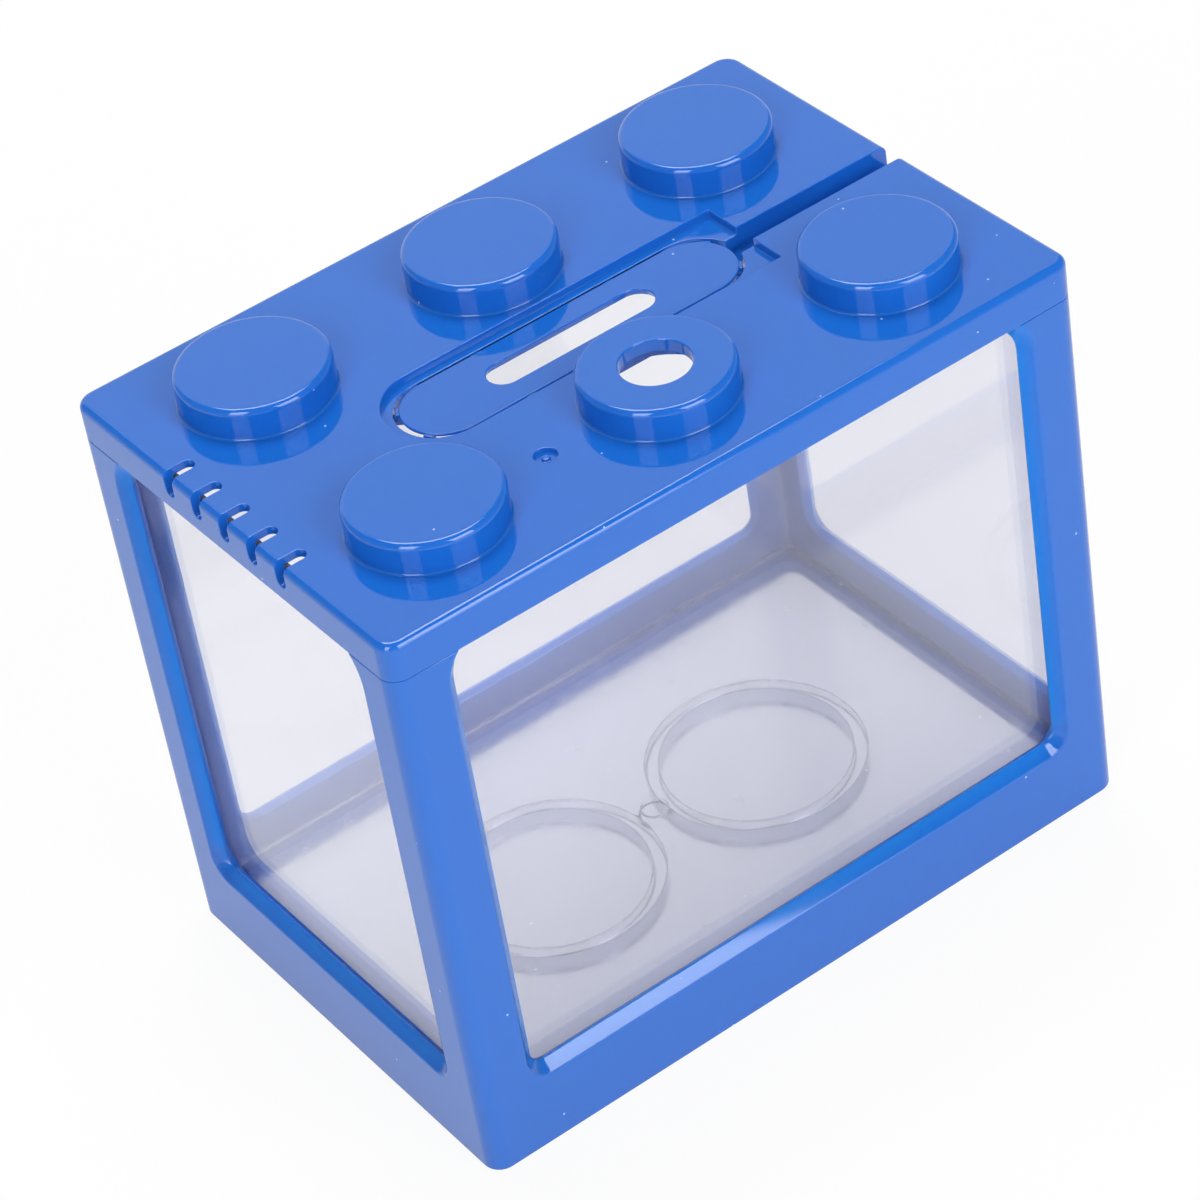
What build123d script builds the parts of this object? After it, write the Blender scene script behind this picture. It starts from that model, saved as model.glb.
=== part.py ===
from build123d import *
import os
from math import hypot

# A block-style mini fish tank in millimetres. The origin is the middle of the base, +X runs along
# the long side to the end with the cable groove, -Y is the front long face and +Z is up.

# Overall block
length = 120.0
width = 80.0
lid_top_z = 100.4
corner_r = 3.0

# Studs on the lid, in 3 columns and 2 rows
stud_pitch_x = 39.8
stud_pitch_y = 42.6
stud_r = 11.6
stud_h = 5.05
stud_wall = 1.4
stud_roof = 2.0
stud_edge = 0.6
feed_hole_r = 5.3

# Lid shell
plate = 1.4
skirt_h = 6.2
skirt_wall = 1.6
lid_edge_r = 1.2
dimple_r = 1.75
dimple_depth = 0.4
dimple_nub_r = 0.6

# Vent notches over the left rim
vent_count = 5
vent_pitch = 7.1
vent_w = 2.2
vent_reach = 4.6
vent_drop = 3.7

# Pocket in the lid, the insert that fills its opening and the cable groove to the right rim
pocket_depth = 1.25
pocket_half_w = 8.55
pocket_left = 31.4
pocket_right = 31.7
insert_half_l = 29.1
insert_half_w = 6.9
insert_thick = 1.3
insert_side_gap = 0.3
insert_end_gap = 0.6
lug_reach = 1.0
lug_thick = 1.0
pad_wall = 1.2
pad_depth = 1.15
slot_half_l = 14.45
slot_half_w = 2.7
tab_w = 1.6
tab_clearance = 0.1
tab_x = 12.0
tab_angle = 38.0
groove_half_w = 1.95
groove_depth = 3.6
trough_wall = 1.2

# Frame
wall = 3.0
post_x = 9.3
post_y = 9.0
sill_z = 14.2
window_top_r = 5.0
window_low_r = 4.0
window_edge = 1.8
window_open = 0.5
rim_h = 2.3
seat_gap = 0.3
base_edge = 0.5
tank_seat_z = 6.0
seat_ledge_w = 3.0
seat_ledge_h = 2.5

# Tank
tank_gap = 0.3
tank_wall = 1.8
tank_floor = 2.5
tank_corner_r = 3.4
floor_fillet_r = 2.5
tank_base_edge = 0.7
tube_wall = 2.0
tube_gap = 0.05
tube_foot_z = 2.0
gate_r = 2.5
gate_depth = 0.5

# Heights and half sizes that the pieces share
half_l = length / 2
half_w = width / 2
shoulder_z = lid_top_z - skirt_h
underside_z = lid_top_z - plate
pocket_z = lid_top_z - pocket_depth
insert_z = pocket_z - insert_thick
pad_z = insert_z - pad_depth
groove_z = lid_top_z - groove_depth
trough_z = groove_z - trough_wall
tank_top_z = min(shoulder_z, trough_z - seat_gap)
inner_half_l = half_l - wall
inner_half_w = half_w - wall
tank_half_l = inner_half_l - tank_gap
tank_half_w = inner_half_w - tank_gap
trough_half_w = groove_half_w + trough_wall
opening_half_l = insert_half_l + insert_end_gap
opening_half_w = insert_half_w + insert_side_gap
stud_centres = [(x * stud_pitch_x, y * stud_pitch_y / 2) for y in (-1, 1) for x in (-1, 0, 1)]
feed_centre = (0, -stud_pitch_y / 2)
tube_centres = [(-stud_pitch_x / 2, 0), (stud_pitch_x / 2, 0)]
tube_r = hypot(stud_pitch_x / 2, stud_pitch_y / 2) - stud_r - tube_gap


def slab(half_x, half_y, radius, low, high):
    """An upright block with rounded vertical corners, between two heights."""
    outline = Plane.XY.offset(low) * RectangleRounded(2 * half_x, 2 * half_y, radius)
    return extrude(outline, high - low)


def capsule(half_long, half_wide, low, high):
    """A block with fully round ends along X, between two heights."""
    outline = Plane.XY.offset(low) * SlotOverall(2 * half_long, 2 * half_wide)
    return extrude(outline, high - low)


def disc(centre, radius, low, high):
    """An upright cylinder between two heights."""
    return extrude(Plane.XY.offset(low) * Pos(*centre) * Circle(radius), high - low)


def block(x_low, x_high, y_low, y_high, z_low, z_high):
    """A plain box between its limits."""
    size = (x_high - x_low, y_high - y_low, z_high - z_low)
    return Pos(x_low, y_low, z_low) * Box(*size, align=(Align.MIN, Align.MIN, Align.MIN))


def window(half_open, face, turn):
    """The cutter of one pair of windows, open at the shoulder, where the lid closes it."""
    top_z = shoulder_z + window_open
    outline = Pos(0, (sill_z + top_z) / 2) * Rectangle(2 * half_open, top_z - sill_z)
    outline = fillet(outline.vertices().group_by(Axis.Y)[0], window_low_r)
    outline = fillet(outline.vertices().group_by(Axis.Y)[-1], window_top_r)
    cutter = extrude(Plane.XZ.offset(-face - 1) * outline, 2 * face + 2)
    return Rot(0, 0, turn) * cutter


def make_frame():
    """The outer frame: four posts, a skirting all round, and a rim that the lid slips over."""
    shell = slab(half_l, half_w, corner_r, 0, shoulder_z)
    shell = chamfer(shell.edges().group_by(Axis.Z)[0], base_edge)
    inner_r = max(corner_r - wall, 0.6)
    shell -= slab(inner_half_l, inner_half_w, inner_r, -1, shoulder_z + 1)
    shell -= window(half_l - post_x, half_w, 0)
    shell -= window(half_w - post_y, half_l, 90)

    # The outer edge of each window is a broad slope, up to the shoulder
    on_faces = [
        edge
        for edge in shell.edges()
        if edge.center().Z > sill_z - 0.01
        and edge.bounding_box().max.Z - edge.bounding_box().min.Z < shoulder_z - sill_z + 0.01
        and edge.center().Z < shoulder_z - 0.01
        and (
            abs(abs(edge.center().Y) - half_w) < 0.001
            and abs(edge.center().X) < half_l - corner_r - 0.01
            or abs(abs(edge.center().X) - half_l) < 0.001
            and abs(edge.center().Y) < half_w - corner_r - 0.01
        )
    ]
    shell = chamfer(on_faces, min(window_edge, wall * 0.65))

    # Rim behind the skirt of the lid, notched under the cable groove
    rim_half_l = half_l - skirt_wall - seat_gap
    rim_half_w = half_w - skirt_wall - seat_gap
    rim_r = max(corner_r - skirt_wall - seat_gap, 0.6)
    rim_z = shoulder_z + rim_h
    rim = slab(rim_half_l, rim_half_w, rim_r, shoulder_z, rim_z)
    rim -= slab(inner_half_l, inner_half_w, inner_r, shoulder_z - 1, rim_z + 1)
    shell += rim
    notch_half_w = trough_half_w + seat_gap
    shell -= block(0, half_l + 1, -notch_half_w, notch_half_w, trough_z - seat_gap, lid_top_z)

    # Ledge inside the skirting that carries the tank
    ledge_z = tank_seat_z - seat_ledge_h
    ledge = slab(inner_half_l + 0.5, inner_half_w + 0.5, inner_r + 0.5, ledge_z, tank_seat_z)
    open_half_l = inner_half_l - seat_ledge_w
    open_half_w = inner_half_w - seat_ledge_w
    ledge -= slab(open_half_l, open_half_w, corner_r, ledge_z - 1, tank_seat_z + 1)
    return shell + ledge


def make_tank():
    """The clear tank: one open box with rounded inner corners and two tubes below its floor."""
    body = slab(tank_half_l, tank_half_w, tank_corner_r, tank_seat_z, tank_top_z)
    body = chamfer(body.edges().group_by(Axis.Z)[0], tank_base_edge)
    floor_z = tank_seat_z + tank_floor
    inner_r = max(tank_corner_r - tank_wall, 0.6)
    hollow = slab(tank_half_l - tank_wall, tank_half_w - tank_wall, inner_r, floor_z, tank_top_z + 5)
    hollow = fillet(hollow.edges().group_by(Axis.Z)[0], min(floor_fillet_r, inner_r * 0.95))
    body -= hollow

    # The tubes stand between the studs of a block below and grip them
    for centre in tube_centres:
        body += disc(centre, tube_r, tube_foot_z, tank_seat_z + 0.5)
    for centre in tube_centres:
        body -= disc(centre, tube_r - tube_wall, tube_foot_z - 1, tank_seat_z)
    body -= disc((0, 0), gate_r, tank_seat_z - 1, tank_seat_z + gate_depth)
    return body


def at_tabs(low, high, out_to, in_to, wide):
    """Eight small blocks round the insert's edge: two on each long side and two on each round end."""
    blocks = []
    for x in (-tab_x, tab_x):
        for side in (0, 180):
            tab = block(x - wide / 2, x + wide / 2, in_to, out_to, low, high)
            blocks.append(Rot(0, 0, side) * tab)
    tab = block(in_to, out_to, -wide / 2, wide / 2, low, high)
    end_centre = insert_half_l - insert_half_w
    for side in (0, 180):
        for angle in (-tab_angle, tab_angle):
            blocks.append(Rot(0, 0, side) * Pos(end_centre, 0, 0) * Rot(0, 0, angle) * tab)
    return blocks


def make_insert():
    """The slotted plate that fills the opening in the lid, with eight tabs round its edge."""
    body = capsule(insert_half_l, insert_half_w, insert_z, pocket_z)
    out_to = insert_half_w + insert_side_gap - tab_clearance
    for tab in at_tabs(insert_z, pocket_z, out_to, insert_half_w - 1, tab_w):
        body += tab
    body -= capsule(slot_half_l, slot_half_w, insert_z - 1, pocket_z + 1)
    return body


def make_lid():
    """The studded lid: plate, skirt, hollow studs, pocket with its opening, groove and vents."""
    body = slab(half_l, half_w, corner_r, shoulder_z, lid_top_z)
    body = fillet(body.edges().group_by(Axis.Z)[-1], min(lid_edge_r, plate * 0.9))
    skirt_r = max(corner_r - skirt_wall, 0.6)
    body -= slab(half_l - skirt_wall, half_w - skirt_wall, skirt_r, shoulder_z - 1, underside_z)

    # Studs, with a small chamfer at the top edge, hollow from below
    for centre in stud_centres:
        stud = disc(centre, stud_r, underside_z, lid_top_z + stud_h)
        body += chamfer(stud.edges().group_by(Axis.Z)[-1], stud_edge)
    for centre in stud_centres:
        body -= disc(centre, stud_r - stud_wall, underside_z - 1, lid_top_z + stud_h - stud_roof)
    body -= disc(feed_centre, feed_hole_r, underside_z, lid_top_z + stud_h + 1)

    # Pad below the whole pocket, and trough below the groove
    pocket_mid = pocket_half_w - pocket_left
    pad_half_w = pocket_half_w + pad_wall
    pad_right = pocket_right + pad_wall
    joined_z = underside_z + 0.5
    body += disc((pocket_mid, 0), pad_half_w, pad_z, joined_z)
    body += block(pocket_mid, pad_right, -pad_half_w, pad_half_w, pad_z, joined_z)
    trough_end = half_l - skirt_wall / 2
    body += block(opening_half_l, trough_end, -trough_half_w, trough_half_w, trough_z, joined_z)

    # Pocket with a round left end and a square right end
    body -= disc((pocket_mid, 0), pocket_half_w, pocket_z, lid_top_z + 1)
    body -= block(pocket_mid, pocket_right, -pocket_half_w, pocket_half_w, pocket_z, lid_top_z + 1)

    # Opening for the insert, with a lug under each of its tabs
    body -= capsule(opening_half_l, opening_half_w, pad_z - 1, lid_top_z + 1)
    out_to = opening_half_w + pad_wall * 0.5
    for lug in at_tabs(insert_z - lug_thick, insert_z, out_to, insert_half_w - lug_reach, tab_w):
        body += lug

    # Cable groove from the opening out through the right skirt
    body -= block(insert_half_l, half_l + 1, -groove_half_w, groove_half_w, groove_z, lid_top_z + 1)

    # Vent notches over the left rim, with round inner ends and round feet in the skirt
    vent_r = vent_w / 2
    vent_z = lid_top_z - vent_drop + vent_r
    vent_out = -half_l - 1
    vent_in = -half_l + vent_reach - vent_r
    for index in range(vent_count):
        y = (index - (vent_count - 1) / 2) * vent_pitch
        body -= block(vent_out, vent_in, y - vent_r, y + vent_r, vent_z, lid_top_z + 1)
        body -= disc((vent_in, y), vent_r, vent_z, lid_top_z + 1)
        foot = extrude(Plane.YZ.offset(vent_out) * Pos(y, vent_z) * Circle(vent_r), vent_in - vent_out)
        body -= foot

    # Moulding mark between the front left studs
    mark = (-stud_pitch_x / 2, -stud_pitch_y / 2)
    body -= disc(mark, dimple_r, lid_top_z - dimple_depth, lid_top_z + 1)
    body += disc(mark, dimple_nub_r, lid_top_z - dimple_depth - 0.5, lid_top_z - 0.1)
    return body


pieces = {
    "frame": make_frame(),
    "tank": make_tank(),
    "lid": make_lid(),
    "lid_insert": make_insert(),
}
os.makedirs("parts", exist_ok=True)
for name, shape in pieces.items():
    shape.label = name
    export_step(shape, f"parts/{name}.step")
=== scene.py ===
import math

import bmesh
import bpy
from mathutils import Matrix, Vector


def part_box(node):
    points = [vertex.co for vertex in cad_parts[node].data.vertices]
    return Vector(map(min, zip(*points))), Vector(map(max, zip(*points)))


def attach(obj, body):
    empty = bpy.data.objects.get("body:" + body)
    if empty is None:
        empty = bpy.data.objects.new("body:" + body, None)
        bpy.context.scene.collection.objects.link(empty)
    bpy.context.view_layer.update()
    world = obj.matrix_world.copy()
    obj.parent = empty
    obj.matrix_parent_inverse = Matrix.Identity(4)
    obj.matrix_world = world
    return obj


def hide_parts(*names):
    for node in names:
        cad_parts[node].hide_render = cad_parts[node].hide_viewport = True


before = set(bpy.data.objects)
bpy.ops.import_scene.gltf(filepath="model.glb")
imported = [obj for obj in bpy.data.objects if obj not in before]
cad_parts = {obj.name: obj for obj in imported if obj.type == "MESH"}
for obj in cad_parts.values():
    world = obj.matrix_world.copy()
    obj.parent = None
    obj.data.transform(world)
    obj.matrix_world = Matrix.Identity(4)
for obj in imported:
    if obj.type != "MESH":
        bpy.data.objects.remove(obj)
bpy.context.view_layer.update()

MM = 0.001


# The camera stands to the front left of the block, well above it, and is tilted in its own plane.
# Its place, aim, tilt and lens reproduce the photograph's perspective.
camera_at = Vector((-268.16, -450.70, 474.61)) * MM
camera_aim = Vector((-1.68, 1.79, 50.0)) * MM
camera_tilt = math.radians(-9.851)
camera_data = bpy.data.cameras.new("camera")
camera_data.lens = 135.67
camera_data.sensor_width = 36
camera = bpy.data.objects.new("camera", camera_data)
bpy.context.collection.objects.link(camera)
to_aim = (camera_aim - camera_at).to_track_quat("-Z", "Y").to_matrix().to_4x4()
camera.matrix_world = Matrix.Translation(camera_at) @ to_aim @ Matrix.Rotation(camera_tilt, 4, "Z")
bpy.context.scene.camera = camera


# The studio is a white table under a grey room, with a white backdrop behind the block, a soft box
# each side of the camera and a wide one overhead.
def linear(hex_colour):
    """An sRGB hex colour as linear red, green, blue and alpha."""
    parts = [int(hex_colour[i:i + 2], 16) / 255 for i in (0, 2, 4)]
    return [c / 12.92 if c <= 0.04045 else ((c + 0.055) / 1.055) ** 2.4 for c in parts] + [1.0]


def add_node(tree, kind, settings=None, inputs=None):
    """Adds a node, sets its properties, and sets or links its inputs by name or number."""
    node = tree.nodes.new(kind)
    for name, value in (settings or {}).items():
        setattr(node, name, value)
    for name, value in (inputs or {}).items():
        if isinstance(value, bpy.types.NodeSocket):
            tree.links.new(value, node.inputs[name])
        else:
            node.inputs[name].default_value = value
    return node


def new_material(name):
    """An empty node material and its output node."""
    material = bpy.data.materials.new(name)
    material.use_nodes = True
    material.node_tree.nodes.clear()
    output = add_node(material.node_tree, "ShaderNodeOutputMaterial")
    return material, material.node_tree, output


def add_mesh(name, mesh):
    """An object at the origin that shows a mesh."""
    piece = bpy.data.objects.new(name, mesh)
    bpy.context.collection.objects.link(piece)
    return piece


def add_sheet(name, corners):
    """A flat four-cornered sheet, with its corners in metres."""
    mesh = bpy.data.meshes.new(name)
    mesh.from_pydata(corners, [], [(0, 1, 2, 3)])
    return add_mesh(name, mesh)


def add_soft_box(name, azimuth, elevation, distance, size, brightness, aim=(0, 0, 0.05)):
    """An area lamp that looks at the block from a direction in degrees; its brightness is set against
    white at 1."""
    lamp = bpy.data.lights.new(name, "AREA")
    lamp.shape = "RECTANGLE"
    lamp.size = size[0]
    lamp.size_y = size[1]
    lamp.energy = brightness * math.pi * size[0] * size[1]
    turn = math.radians(azimuth)
    rise = math.radians(elevation)
    direction = Vector((math.cos(turn) * math.cos(rise), math.sin(turn) * math.cos(rise), math.sin(rise)))
    holder = bpy.data.objects.new(name, lamp)
    bpy.context.collection.objects.link(holder)
    turned = (-direction).to_track_quat("-Z", "Y").to_matrix().to_4x4()
    holder.matrix_world = Matrix.Translation(Vector(aim) + direction * distance) @ turned


table_half = 6.0
table = add_sheet("table", [(-table_half, -table_half, 0), (table_half, -table_half, 0),
                            (table_half, table_half, 0), (-table_half, table_half, 0)])
paper, tree, output = new_material("white_sweep_paper")
# The paper shows almost pure white by itself, and less so in reflections and through the clear plastic
white_when_seen = 0.92
white_in_reflections = 0.75
white_through_plastic = 0.35
rays = add_node(tree, "ShaderNodeLightPath")
seen_part = add_node(tree, "ShaderNodeMath", {"operation": "MULTIPLY"},
                     {0: rays.outputs["Is Camera Ray"], 1: white_when_seen})
through_part = add_node(tree, "ShaderNodeMath", {"operation": "MULTIPLY"},
                        {0: rays.outputs["Is Transmission Ray"], 1: white_through_plastic})
gloss_part = add_node(tree, "ShaderNodeMath", {"operation": "MULTIPLY"},
                      {0: rays.outputs["Is Glossy Ray"], 1: white_in_reflections})
shown_part = add_node(tree, "ShaderNodeMath", {"operation": "MAXIMUM"},
                      {0: seen_part.outputs[0], 1: through_part.outputs[0]})
shown_part = add_node(tree, "ShaderNodeMath", {"operation": "MAXIMUM"},
                      {0: shown_part.outputs[0], 1: gloss_part.outputs[0]})
matt = add_node(tree, "ShaderNodeBsdfDiffuse", inputs={"Color": linear("F2F2F3")})
bright = add_node(tree, "ShaderNodeEmission", inputs={"Color": (1, 1, 1, 1), "Strength": 1.0})
mixed = add_node(tree, "ShaderNodeMixShader",
                 inputs={0: shown_part.outputs[0], 1: matt.outputs[0], 2: bright.outputs[0]})
tree.links.new(mixed.outputs[0], output.inputs["Surface"])
table.data.materials.append(paper)

backdrop_y = 1.6
backdrop = add_sheet("backdrop", [(-0.4, backdrop_y, 0), (2.6, backdrop_y, 0),
                                  (2.6, backdrop_y, 2.4), (-0.4, backdrop_y, 2.4)])
backdrop.data.materials.append(paper)

# The room is pale near the horizon and dark above
world = bpy.data.worlds.new("studio")
world.use_nodes = True
world_tree = world.node_tree
world_tree.nodes.clear()
towards = add_node(world_tree, "ShaderNodeTexCoord")
split = add_node(world_tree, "ShaderNodeSeparateXYZ", inputs={0: towards.outputs["Generated"]})
room = add_node(world_tree, "ShaderNodeMapRange",
                inputs={"Value": split.outputs["Z"], "From Min": 0.0, "From Max": 0.55,
                        "To Min": 0.5, "To Max": 0.12})
grey = add_node(world_tree, "ShaderNodeBackground",
                inputs={"Color": (1, 1, 1, 1), "Strength": room.outputs[0]})
add_node(world_tree, "ShaderNodeOutputWorld", inputs={"Surface": grey.outputs[0]})
bpy.context.scene.world = world

# Each side lamp is a bright box above a dimmer skirt of the same width
add_soft_box("soft_box_left", -151, 35, 2.4, (0.84, 1.30), 5.7)
add_soft_box("soft_box_left_skirt", -151, 10.5, 2.4, (0.84, 0.76), 2.0)
add_soft_box("soft_box_right", -78.5, 35, 2.4, (1.20, 1.30), 5.7)
add_soft_box("soft_box_right_skirt", -78.5, 10.5, 2.4, (1.20, 0.76), 2.0)
add_soft_box("soft_box_top", 63, 72, 2.0, (1.35, 0.75), 6.5)
bpy.context.scene.view_settings.view_transform = "Standard"


# The blue parts are injection-moulded ABS, coloured through and glossy from a polished mould.
# Light enters their thin edges a little, and the surface shows faint flow waves and specks of dust.
plastic_blue = linear("1A67C6")
dust_blue = linear("A9C4EE")
polished = 0.06
inner_light = 0.2
light_reach = 1.5 * MM


def make_blue_abs(name):
    """Glossy blue ABS: moulded waves a few millimetres long, and a trace of light inside. Returns the
    material, and the nodes that a piece with thin edges changes."""
    material, tree, output = new_material(name)
    place = add_node(tree, "ShaderNodeTexCoord")
    waves = add_node(tree, "ShaderNodeTexNoise", {"noise_dimensions": "3D"},
                     {"Vector": place.outputs["Object"], "Scale": 1 / (9 * MM), "Detail": 1.0})
    bump = add_node(tree, "ShaderNodeBump", inputs={"Height": waves.outputs["Fac"], "Strength": 0.3,
                                                    "Distance": 0.03 * MM})
    # Specks a third of a millimetre across, one to each cell 6 mm wide, most of them below the surface
    cells = add_node(tree, "ShaderNodeTexVoronoi", {"voronoi_dimensions": "3D", "feature": "F1"},
                     {"Vector": place.outputs["Object"], "Scale": 1 / (6 * MM)})
    speck = add_node(tree, "ShaderNodeMath", {"operation": "LESS_THAN"},
                     {0: cells.outputs["Distance"], 1: 0.03})
    tint = add_node(tree, "ShaderNodeMix", {"data_type": "RGBA"})
    tint.inputs[6].default_value = plastic_blue
    tint.inputs[7].default_value = dust_blue
    tree.links.new(speck.outputs[0], tint.inputs[0])
    shader = add_node(tree, "ShaderNodeBsdfPrincipled",
                      inputs={"Base Color": tint.outputs[2], "Roughness": polished, "IOR": 1.58,
                              "Subsurface Weight": inner_light, "Subsurface Radius": (0.15, 0.5, 1.0),
                              "Subsurface Scale": light_reach, "Normal": bump.outputs[0]})
    tree.links.new(shader.outputs[0], output.inputs["Surface"])
    return material, tree, place, tint, shader


blue_abs = make_blue_abs("moulded_blue_abs")[0]


def cleaned_copy(node):
    """A CAD node's mesh as a working mesh, with its triangles joined and its flats cleaned."""
    work = bmesh.new()
    work.from_mesh(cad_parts[node].data)
    bmesh.ops.remove_doubles(work, verts=work.verts, dist=0.002 * MM)
    bmesh.ops.dissolve_limit(work, angle_limit=math.radians(0.5), verts=work.verts, edges=work.edges)
    return work


def round_edges(work, radius, chosen=None, segments=2):
    """Rounds the sharp edges of a working mesh, or those that a test picks by their middle."""
    sharp = [edge for edge in work.edges if len(edge.link_faces) == 2
             and edge.calc_face_angle(0) > math.radians(38)
             and (chosen is None or chosen((edge.verts[0].co + edge.verts[1].co) / 2))]
    bmesh.ops.bevel(work, geom=sharp, offset=radius, segments=segments, profile=0.5, affect="EDGES",
                    clamp_overlap=False, offset_type="OFFSET", material=-1)


def finished(work, name, material):
    """A working mesh as an object: smooth with sharp corners kept, and flat faces leading the shading."""
    mesh = bpy.data.meshes.new(name)
    bmesh.ops.recalc_face_normals(work, faces=work.faces)
    work.to_mesh(mesh)
    work.free()
    for face in mesh.polygons:
        face.use_smooth = True
    mesh.set_sharp_from_angle(angle=math.radians(32))
    mesh.materials.append(material)
    piece = add_mesh(name, mesh)
    weighting = piece.modifiers.new("flat_faces_lead", "WEIGHTED_NORMAL")
    weighting.keep_sharp = True
    weighting.weight = 100
    return piece


# The frame is one moulding: four posts on a skirting, with a broad slope round each window. The slope
# runs out to a thin edge that light passes into, and that edge is also painted a paler blue as a painted
# glow. The inside of the walls is less polished.
frame_work = cleaned_copy("frame")
frame_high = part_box("frame")[1]
frame_wall = 3.0 * MM
window_slope = 1.8 * MM
solid_half = (50.7 * MM, 31.0 * MM)
solid_sill = 14.2 * MM
window_half = tuple(half - 1.1 * MM for half in solid_half)
sill_height = solid_sill + 0.85 * MM
window_top = 94.7 * MM
shoulder_height = 94.2 * MM
# A paler blue, painted on the thin window edges as a painted glow of the light passing through them
painted_edge_glow_blue = linear("2080DA")
fade_corner = 5.0 * MM
touch = 0.05 * MM
slack = 0.01 * MM

frame_abs, tree, place, tint, shader = make_blue_abs("moulded_blue_abs_thin_edges")
split = add_node(tree, "ShaderNodeSeparateXYZ", inputs={0: place.outputs["Object"]})
from_middle = [add_node(tree, "ShaderNodeMath", {"operation": "ABSOLUTE"}, {0: split.outputs[i]})
               for i in (0, 1)]
# How far a point is outside a window's rounded outline, from the parts past its side and its ends
past_sill = add_node(tree, "ShaderNodeMath", {"operation": "SUBTRACT"},
                     {0: sill_height + fade_corner, 1: split.outputs["Z"]})
past_top = add_node(tree, "ShaderNodeMath", {"operation": "SUBTRACT"},
                    {0: split.outputs["Z"], 1: window_top - fade_corner})
past_ends = add_node(tree, "ShaderNodeMath", {"operation": "MAXIMUM"},
                     {0: past_sill.outputs[0], 1: past_top.outputs[0]})
past_ends = add_node(tree, "ShaderNodeMath", {"operation": "MAXIMUM"}, {0: past_ends.outputs[0], 1: 0.0})
thin_parts = []
inner_parts = []
for across, through in ((0, 1), (1, 0)):
    inner_face = frame_high[through] - frame_wall
    beside = add_node(tree, "ShaderNodeMath", {"operation": "SUBTRACT"},
                      {0: from_middle[across].outputs[0], 1: window_half[across] - fade_corner})
    beside = add_node(tree, "ShaderNodeMath", {"operation": "MAXIMUM"}, {0: beside.outputs[0], 1: 0.0})
    both = add_node(tree, "ShaderNodeCombineXYZ", inputs={0: beside.outputs[0], 1: past_ends.outputs[0]})
    outwards = add_node(tree, "ShaderNodeVectorMath", {"operation": "LENGTH"}, {0: both.outputs[0]})
    fading = add_node(tree, "ShaderNodeMapRange",
                      inputs={"Value": outwards.outputs["Value"], "To Min": 1.0, "To Max": 0.0,
                              "From Min": fade_corner + 0.3 * window_slope,
                              "From Max": fade_corner + 1.25 * window_slope})
    in_wall = add_node(tree, "ShaderNodeMath", {"operation": "GREATER_THAN"},
                       {0: from_middle[through].outputs[0], 1: inner_face - touch})
    within = add_node(tree, "ShaderNodeMath", {"operation": "LESS_THAN"},
                      {0: from_middle[through].outputs[0], 1: inner_face + touch})
    thin_parts.append(add_node(tree, "ShaderNodeMath", {"operation": "MULTIPLY"},
                               {0: fading.outputs[0], 1: in_wall.outputs[0]}))
    inner_parts.append(within)
thin = add_node(tree, "ShaderNodeMath", {"operation": "MAXIMUM"},
                {0: thin_parts[0].outputs[0], 1: thin_parts[1].outputs[0]})
unpolished = add_node(tree, "ShaderNodeMath", {"operation": "MULTIPLY"},
                      {0: inner_parts[0].outputs[0], 1: inner_parts[1].outputs[0]})
# The thin edges are painted a paler blue: a painted glow of the light that passes through them, besides the
# real scattering set below
painted_glow_mix = add_node(tree, "ShaderNodeMix", {"data_type": "RGBA"})
painted_glow_mix.inputs[7].default_value = painted_edge_glow_blue
tree.links.new(thin.outputs[0], painted_glow_mix.inputs[0])
tree.links.new(tint.outputs[2], painted_glow_mix.inputs[6])
tree.links.new(painted_glow_mix.outputs[2], shader.inputs["Base Color"])
for socket_name, mask, plain, changed in (("Subsurface Weight", thin, inner_light, 0.95),
                                          ("Subsurface Scale", thin, light_reach, 3.0 * MM),
                                          ("Roughness", unpolished, polished, 0.35)):
    ranged = add_node(tree, "ShaderNodeMapRange",
                      inputs={"Value": mask.outputs[0], "To Min": plain, "To Max": changed})
    tree.links.new(ranged.outputs[0], shader.inputs[socket_name])
# The posts' slopes and the inner faces reflect less than the sills do
above_sill = add_node(tree, "ShaderNodeMapRange",
                      inputs={"Value": split.outputs["Z"], "From Min": sill_height,
                              "From Max": sill_height + 5 * MM})
on_post = add_node(tree, "ShaderNodeMath", {"operation": "MULTIPLY"},
                   {0: thin.outputs[0], 1: above_sill.outputs[0]})
dull = add_node(tree, "ShaderNodeMath", {"operation": "MAXIMUM"},
                {0: on_post.outputs[0], 1: unpolished.outputs[0]})
shine = add_node(tree, "ShaderNodeMapRange",
                 inputs={"Value": dull.outputs[0], "To Min": 0.5, "To Max": 0.15})
tree.links.new(shine.outputs[0], shader.inputs["Specular IOR Level"])


def narrow_window(across, at, height):
    """Where a point of a window's slope goes, along its wall and in height, so that the window is as
    narrow as in the photograph. The corners get a tighter radius below and a wider one above."""
    if height < 50 * MM:
        solid_corner, new_corner = 4.0 * MM, 2.0 * MM
        solid_level, new_level = solid_sill + solid_corner, sill_height + new_corner
    else:
        solid_corner, new_corner = 5.0 * MM, 6.0 * MM
        solid_level, new_level = window_top - solid_corner, window_top - new_corner
    new_side = window_half[across] - new_corner
    reach = Vector((at - (solid_half[across] - solid_corner), height - solid_level))
    radius = new_corner + reach.length - solid_corner
    if height > shoulder_height - slack:
        return new_side + math.sqrt(radius ** 2 - (shoulder_height - new_level) ** 2), height
    return tuple(Vector((new_side, new_level)) + reach.normalized() * radius)


def beside_a_post(middle):
    """Whether a point is on the outer edge of a window, up one of the posts."""
    outside = max(abs(middle.x) - frame_high[0], abs(middle.y) - frame_high[1]) > -0.2 * MM
    corner = abs(middle.x) > frame_high[0] - 4 * MM and abs(middle.y) > frame_high[1] - 4 * MM
    return outside and not corner and 19 * MM < middle.z < 89 * MM


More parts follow.
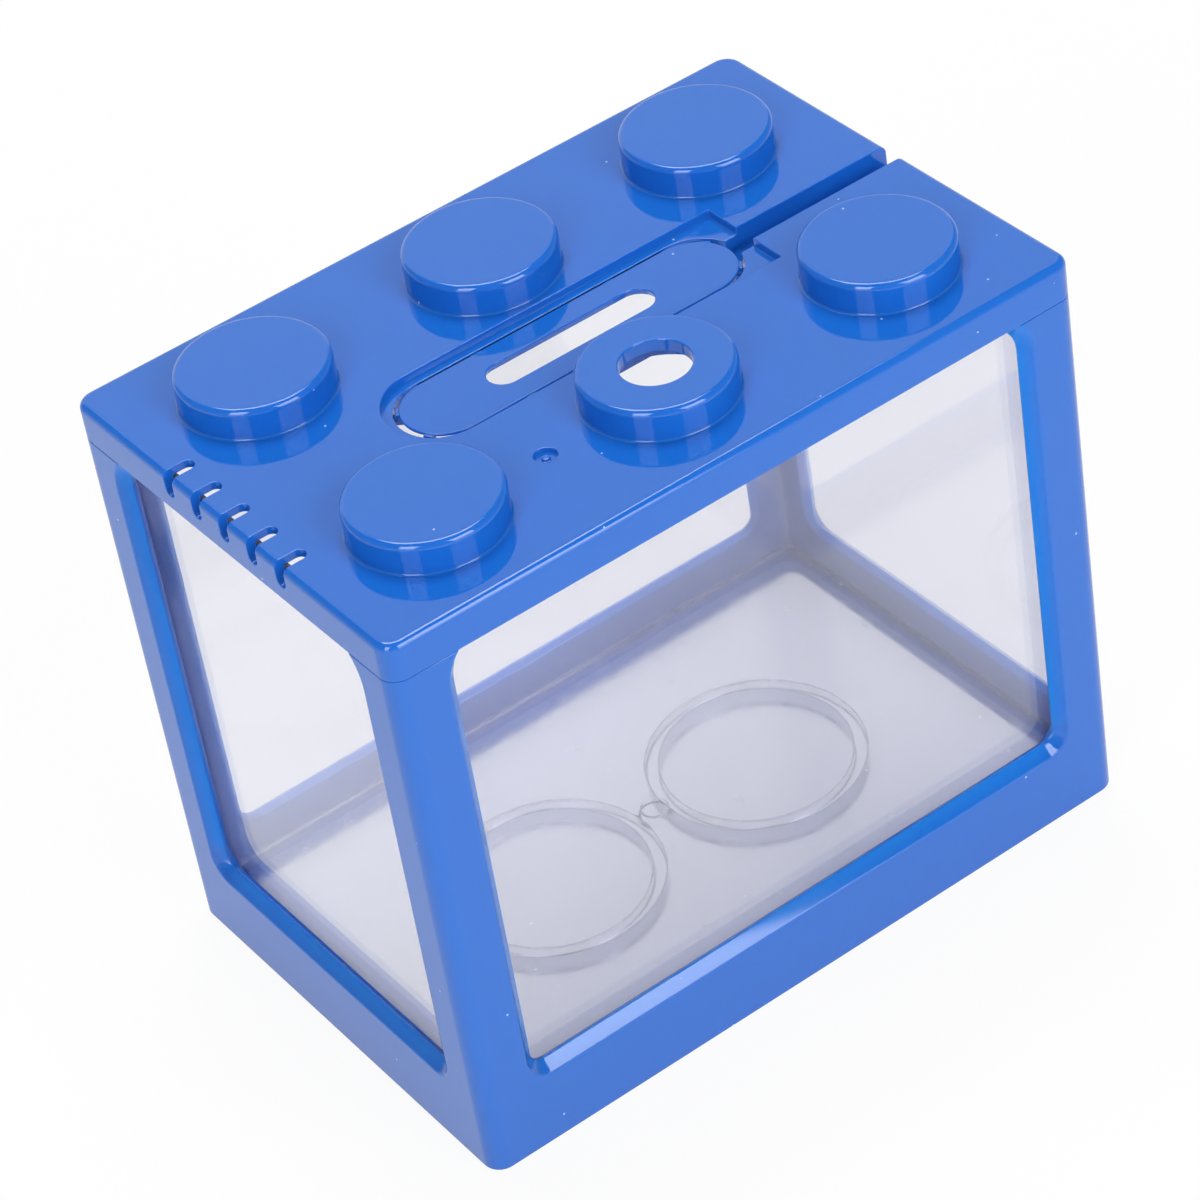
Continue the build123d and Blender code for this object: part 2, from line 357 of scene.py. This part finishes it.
for vert in frame_work.verts:
    for across, through in ((0, 1), (1, 0)):
        depth = frame_high[through] - abs(vert.co[through])
        at = abs(vert.co[across])
        if (depth < window_slope + 2 * slack and at < solid_half[across] + window_slope + 2 * slack
                and 12 * MM < vert.co.z < shoulder_height + slack):
            side = math.copysign(1, vert.co[across])
            at, height = narrow_window(across, at, vert.co.z)
            vert.co[across] = side * at
            vert.co.z = height
            break
round_edges(frame_work, 0.85 * MM, beside_a_post, 4)
round_edges(frame_work, 0.25 * MM)
outer_frame = finished(frame_work, "outer_frame", frame_abs)
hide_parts("frame")
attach(outer_frame, "frame")


# The lid is a thin shell with a pocket, a cable groove and five vents. Its studs are cut off here and
# made below with their soft rims.
stud_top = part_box("lid")[1][2]
stud_height = 5.05 * MM
stud_pitch = (39.8 * MM, 42.6 * MM)
plate_top = stud_top - stud_height
lid_work = cleaned_copy("lid")

# The moulding mark is a round groove about a nub, and both are made deeper
mark_middle = Vector((-stud_pitch[0] / 2, -stud_pitch[1] / 2))
mark_radius = 1.8 * MM
nub_radius = 0.7 * MM
groove_deeper = 0.35 * MM
nub_deeper = 0.2 * MM
for vert in lid_work.verts:
    from_mark = (vert.co.xy - mark_middle).length
    below_plate = plate_top - vert.co.z
    if from_mark < mark_radius and 0.05 * MM < below_plate < 1.2 * MM:
        vert.co.z -= groove_deeper if from_mark > nub_radius or below_plate > 0.3 * MM else nub_deeper
round_edges(lid_work, 0.2 * MM)

# Each stud's cut is closed with a flat sheet, which the new stud covers
bmesh.ops.bisect_plane(lid_work, geom=lid_work.verts[:] + lid_work.edges[:] + lid_work.faces[:],
                       dist=0.001 * MM, plane_co=(0, 0, plate_top + 0.02 * MM), plane_no=(0, 0, 1),
                       clear_outer=True)
for x in (-stud_pitch[0], 0, stud_pitch[0]):
    for y in (-stud_pitch[1] / 2, stud_pitch[1] / 2):
        cut_rings = [edge for edge in lid_work.edges if len(edge.link_faces) == 1
                     and (edge.verts[0].co.xy - Vector((x, y))).length < 13 * MM]
        bmesh.ops.triangle_fill(lid_work, use_beauty=True, use_dissolve=False, normal=(0, 0, 1),
                                edges=cut_rings)
lid_shell = finished(lid_work, "lid_shell", blue_abs)
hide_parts("lid")
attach(lid_shell, "lid")


# Six hollow studs stand on the lid in three columns and two rows, moulded in one with it. Each has a
# soft rim and a small fillet at its foot, and the front middle one has a hole to feed through.
stud_radius = 11.6 * MM
stud_cavity = 10.2 * MM
stud_rim = 1.0 * MM
stud_foot = 0.35 * MM
stud_roof = 2.0 * MM
feed_hole = 5.3 * MM
feed_rim = 0.25 * MM


def arc(middle, radius, start, end, steps=6):
    """Points of a profile arc, as radius and height, between two angles in degrees."""
    angles = [math.radians(start + (end - start) * step / steps) for step in range(steps + 1)]
    return [(middle[0] + radius * math.cos(a), middle[1] + radius * math.sin(a)) for a in angles]


def turned_mesh(name, profile, segments=96):
    """A mesh turned about the upright axis from a profile; points on the axis become poles."""
    work = bmesh.new()
    rings = []
    for radius, height in profile:
        if radius < 1e-9:
            rings.append([work.verts.new((0, 0, height))])
        else:
            turns = [2 * math.pi * step / segments for step in range(segments)]
            rings.append([work.verts.new((radius * math.cos(t), radius * math.sin(t), height))
                          for t in turns])
    closed = profile[0][0] > 1e-9
    pairs = list(zip(rings, rings[1:])) + ([(rings[-1], rings[0])] if closed else [])
    for upper, lower in pairs:
        for step in range(segments):
            after = (step + 1) % segments
            corners = [upper[step % len(upper)], lower[step % len(lower)],
                       lower[after % len(lower)], upper[after % len(upper)]]
            distinct = list(dict.fromkeys(corners))
            if len(distinct) > 2:
                work.faces.new(distinct)
    bmesh.ops.recalc_face_normals(work, faces=work.faces)
    mesh = bpy.data.meshes.new(name)
    work.to_mesh(mesh)
    work.free()
    return mesh


sunk = plate_top - 0.3 * MM
outside = (arc((stud_radius - stud_rim, stud_top - stud_rim), stud_rim, 90, 0, 8)
           + arc((stud_radius + stud_foot, plate_top + stud_foot), stud_foot, 180, 270)
           + [(stud_radius + stud_foot, sunk), (stud_cavity, sunk), (stud_cavity, stud_top - stud_roof)])
plain_profile = [(0, stud_top)] + outside + [(0, stud_top - stud_roof)]
feed_profile = (arc((feed_hole + feed_rim, stud_top - feed_rim), feed_rim, 180, 90, 4) + outside
                + [(feed_hole, stud_top - stud_roof)])

# The plain studs are set out on their grid, which leaves out the place of the stud with the hole
grid_tree = bpy.data.node_groups.new("studs_on_grid", "GeometryNodeTree")
for socket_name, direction, kind in (("Stud", "INPUT", "NodeSocketGeometry"),
                                     ("Pitch Along", "INPUT", "NodeSocketFloat"),
                                     ("Pitch Across", "INPUT", "NodeSocketFloat"),
                                     ("Left Out", "INPUT", "NodeSocketVector"),
                                     ("Plastic", "INPUT", "NodeSocketMaterial"),
                                     ("Studs", "OUTPUT", "NodeSocketGeometry")):
    grid_tree.interface.new_socket(name=socket_name, in_out=direction, socket_type=kind)
given = add_node(grid_tree, "NodeGroupInput")
along = add_node(grid_tree, "ShaderNodeMath", {"operation": "MULTIPLY"},
                 {0: given.outputs["Pitch Along"], 1: 2.0})
grid = add_node(grid_tree, "GeometryNodeMeshGrid",
                inputs={"Size X": along.outputs[0], "Size Y": given.outputs["Pitch Across"],
                        "Vertices X": 3, "Vertices Y": 2})
spot = add_node(grid_tree, "GeometryNodeInputPosition")
apart = add_node(grid_tree, "ShaderNodeVectorMath", {"operation": "DISTANCE"},
                 {0: spot.outputs[0], 1: given.outputs["Left Out"]})
kept = add_node(grid_tree, "FunctionNodeCompare", {"operation": "GREATER_THAN"},
                {0: apart.outputs["Value"], 1: 1 * MM})
placed = add_node(grid_tree, "GeometryNodeInstanceOnPoints",
                  inputs={"Points": grid.outputs[0], "Selection": kept.outputs[0],
                          "Instance": given.outputs["Stud"]})
real = add_node(grid_tree, "GeometryNodeRealizeInstances", inputs={0: placed.outputs[0]})
coated = add_node(grid_tree, "GeometryNodeSetMaterial",
                  inputs={"Geometry": real.outputs[0], "Material": given.outputs["Plastic"]})
add_node(grid_tree, "NodeGroupOutput", inputs={"Studs": coated.outputs[0]})

one_stud = add_mesh("stud_on_its_own", turned_mesh("stud_on_its_own", plain_profile))
setting_out = one_stud.modifiers.new("studs_on_grid", "NODES")
setting_out.node_group = grid_tree
values = {"Pitch Along": stud_pitch[0], "Pitch Across": stud_pitch[1],
          "Left Out": (0, -stud_pitch[1] / 2, 0), "Plastic": blue_abs}
for socket in grid_tree.interface.items_tree:
    if socket.name in values:
        setting_out[socket.identifier] = values[socket.name]
bpy.context.view_layer.update()
studs_mesh = bpy.data.meshes.new_from_object(one_stud.evaluated_get(bpy.context.evaluated_depsgraph_get()))
bpy.data.objects.remove(one_stud)

stud_work = bmesh.new()
stud_work.from_mesh(studs_mesh)
plain_studs = finished(stud_work, "plain_studs", blue_abs)

stud_work = bmesh.new()
stud_work.from_mesh(turned_mesh("feed_stud_turned", feed_profile))
bmesh.ops.translate(stud_work, verts=stud_work.verts, vec=(0, -stud_pitch[1] / 2, 0))
feed_stud = finished(stud_work, "feed_stud", blue_abs)
for piece in (plain_studs, feed_stud):
    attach(piece, "lid")


# The insert is a thin slotted plate that fills the lid's opening. It was moulded apart, its edge is
# thin and rounded, and it hangs on eight short tabs, so light shows past its ends.
insert_low, insert_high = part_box("lid_insert")
insert_top = insert_high[2]
insert_base = insert_low[2]
insert_half = (28.8 * MM, 6.9 * MM)
slot_half = (14.45 * MM, 2.7 * MM)


def capsule_ring(half, grown, height, steps=36):
    """Points round a capsule that is grown or shrunk from its half sizes, at a height."""
    long_half = half[0] + grown
    wide_half = half[1] + grown
    points = []
    for side in (0, 1):
        for step in range(steps + 1):
            turn = math.radians(-90 + 180 * step / steps + 180 * side)
            middle = (long_half - wide_half) * (1 - 2 * side)
            points.append((middle + wide_half * math.cos(turn), wide_half * math.sin(turn), height))
    return points


edge_round = 0.25 * MM
foot_inset = 1.5 * MM
edge_depth = 0.8 * MM
slot_draft = 0.5 * MM
rings = [capsule_ring(insert_half, -foot_inset, insert_base),
         capsule_ring(insert_half, -foot_inset, insert_top - edge_depth)]
rings += [capsule_ring(insert_half, -edge_round + edge_round * math.cos(math.radians(turn)),
                       insert_top - edge_round + edge_round * math.sin(math.radians(turn)))
          for turn in (-35, 0, 22, 45, 68, 90)]
rings += [capsule_ring(slot_half, edge_round - edge_round * math.sin(math.radians(turn)),
                       insert_top - edge_round + edge_round * math.cos(math.radians(turn)))
          for turn in (0, 22, 45, 68, 90)]
rings.append(capsule_ring(slot_half, slot_draft, insert_base))
insert_work = bmesh.new()
laid = [[insert_work.verts.new(point) for point in ring] for ring in rings]
for lower, upper in zip(laid, laid[1:] + laid[:1]):
    for step in range(len(lower)):
        after = (step + 1) % len(lower)
        insert_work.faces.new((lower[step], lower[after], upper[after], upper[step]))

tab_reach = (6.0 * MM, 7.1 * MM)
tab_half = 0.8 * MM
tab_top = insert_top - 0.12 * MM
tab_places = [((x * MM, 0), turn) for x in (-12, 12) for turn in (90, -90)]
tab_places += [((22.2 * MM, 0), turn) for turn in (-38, 38)]
tab_places += [((-22.2 * MM, 0), turn) for turn in (145, 215)]
for middle, turn in tab_places:
    made = bmesh.ops.create_cube(insert_work, size=1)["verts"]
    bmesh.ops.scale(insert_work, verts=made,
                    vec=(tab_reach[1] - tab_reach[0], 2 * tab_half, tab_top - insert_base))
    bmesh.ops.translate(insert_work, verts=made,
                        vec=((tab_reach[0] + tab_reach[1]) / 2, 0, (tab_top + insert_base) / 2))
    bmesh.ops.rotate(insert_work, verts=made, cent=(0, 0, 0),
                     matrix=Matrix.Rotation(math.radians(turn), 3, "Z"))
    bmesh.ops.translate(insert_work, verts=made, vec=(middle[0], middle[1], 0))
    tab_edges = list({edge for vert in made for edge in vert.link_edges})
    bmesh.ops.bevel(insert_work, geom=tab_edges, offset=0.15 * MM, segments=2, profile=0.5, affect="EDGES",
                    material=-1)
slotted_insert = finished(insert_work, "slotted_insert", blue_abs)
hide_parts("lid_insert")
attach(slotted_insert, "lid_insert")


# The tank is one clear polystyrene moulding. Its walls pass nearly all light, and its floor is misty,
# with painted shade and painted blue light from the frame that darken it and tint it a faint lavender.
def make_clear_plastic(name):
    """Clear polystyrene, with faint waves from the mould and painted shade on its floor."""
    material, tree, output = new_material(name)
    place = add_node(tree, "ShaderNodeTexCoord")
    waves = add_node(tree, "ShaderNodeTexNoise", {"noise_dimensions": "3D"},
                     {"Vector": place.outputs["Object"], "Scale": 1 / (12 * MM), "Detail": 1.0})
    bump = add_node(tree, "ShaderNodeBump", inputs={"Height": waves.outputs["Fac"], "Strength": 0.3,
                                                    "Distance": 0.05 * MM})
    split = add_node(tree, "ShaderNodeSeparateXYZ", inputs={0: place.outputs["Object"]})
    # The floor and the feet of the walls are misty, in blotches a few millimetres wide
    low = add_node(tree, "ShaderNodeMapRange",
                   inputs={"Value": split.outputs["Z"], "From Min": 9.5 * MM, "From Max": 20 * MM,
                           "To Min": 0.34, "To Max": 0.0})
    blotches = add_node(tree, "ShaderNodeTexNoise", {"noise_dimensions": "3D"},
                        {"Vector": place.outputs["Object"], "Scale": 1 / (3 * MM), "Detail": 2.0})
    mist = add_node(tree, "ShaderNodeMath", {"operation": "MULTIPLY"},
                    {0: low.outputs[0], 1: blotches.outputs["Fac"]})
    rough = add_node(tree, "ShaderNodeMath", {"operation": "ADD"}, {0: mist.outputs[0], 1: 0.02})
    # Painted shade and painted blue bounce light darken the floor to lavender, most of all along the front
    floor_part = add_node(tree, "ShaderNodeMapRange",
                          inputs={"Value": split.outputs["Z"], "From Min": 9 * MM, "From Max": 14 * MM,
                                  "To Min": 1.0, "To Max": 0.0})
    front_part = add_node(tree, "ShaderNodeMapRange",
                          inputs={"Value": split.outputs["Y"], "From Min": -38 * MM, "From Max": -5 * MM,
                                  "To Min": 1.0, "To Max": 0.6})
    painted_floor_shade = add_node(tree, "ShaderNodeMath", {"operation": "MULTIPLY"},
                        {0: floor_part.outputs[0], 1: front_part.outputs[0]})
    tint = add_node(tree, "ShaderNodeMix", {"data_type": "RGBA"})
    tint.inputs[6].default_value = linear("F6F6FA")
    tint.inputs[7].default_value = linear("C6CADD")
    tree.links.new(painted_floor_shade.outputs[0], tint.inputs[0])
    shader = add_node(tree, "ShaderNodeBsdfPrincipled",
                      inputs={"Base Color": tint.outputs[2], "Roughness": rough.outputs[0], "IOR": 1.57,
                              "Transmission Weight": 0.96, "Normal": bump.outputs[0]})
    # Rays towards the lamps and from matt surfaces pass straight through, as bent ones would be lost
    rays = add_node(tree, "ShaderNodeLightPath")
    lamp_rays = add_node(tree, "ShaderNodeMath", {"operation": "MAXIMUM"},
                         {0: rays.outputs["Is Shadow Ray"], 1: rays.outputs["Is Diffuse Ray"]})
    let_through = add_node(tree, "ShaderNodeBsdfTransparent", inputs={"Color": linear("F4F4F8")})
    mixed = add_node(tree, "ShaderNodeMixShader",
                     inputs={0: lamp_rays.outputs[0], 1: shader.outputs[0], 2: let_through.outputs[0]})
    tree.links.new(mixed.outputs[0], output.inputs["Surface"])
    return material


tank_work = cleaned_copy("tank")
round_edges(tank_work, 0.3 * MM)
# The mark that the mould's gate leaves, a low button in the middle of the floor
floor_top = 8.5 * MM
tank_work.normal_update()
floor_face = max((face for face in tank_work.faces
                  if face.normal.z > 0.99 and abs(face.calc_center_median().z - floor_top) < 0.01 * MM),
                 key=lambda face: face.calc_area())
floor_rim = list(floor_face.edges)
bmesh.ops.delete(tank_work, geom=[floor_face], context="FACES_ONLY")
button_steps = 48
button_profile = ((2.35, 0), (2.3, 0.14), (2.15, 0.24), (1.95, 0.28))
turns = [2 * math.pi * step / button_steps for step in range(button_steps)]
button = [[tank_work.verts.new((radius * MM * math.cos(t), radius * MM * math.sin(t), floor_top + rise * MM))
           for t in turns] for radius, rise in button_profile]
for lower, upper in zip(button, button[1:]):
    for step in range(button_steps):
        after = (step + 1) % button_steps
        tank_work.faces.new((lower[step], lower[after], upper[after], upper[step]))
tank_work.faces.new(button[-1])
button_foot = [tank_work.edges.get((button[0][step - 1], button[0][step])) for step in range(button_steps)]
bmesh.ops.triangle_fill(tank_work, use_beauty=True, use_dissolve=False, normal=(0, 0, 1),
                        edges=floor_rim + button_foot)
clear_tank = finished(tank_work, "clear_tank", make_clear_plastic("clear_polystyrene"))
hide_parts("tank")
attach(clear_tank, "tank")
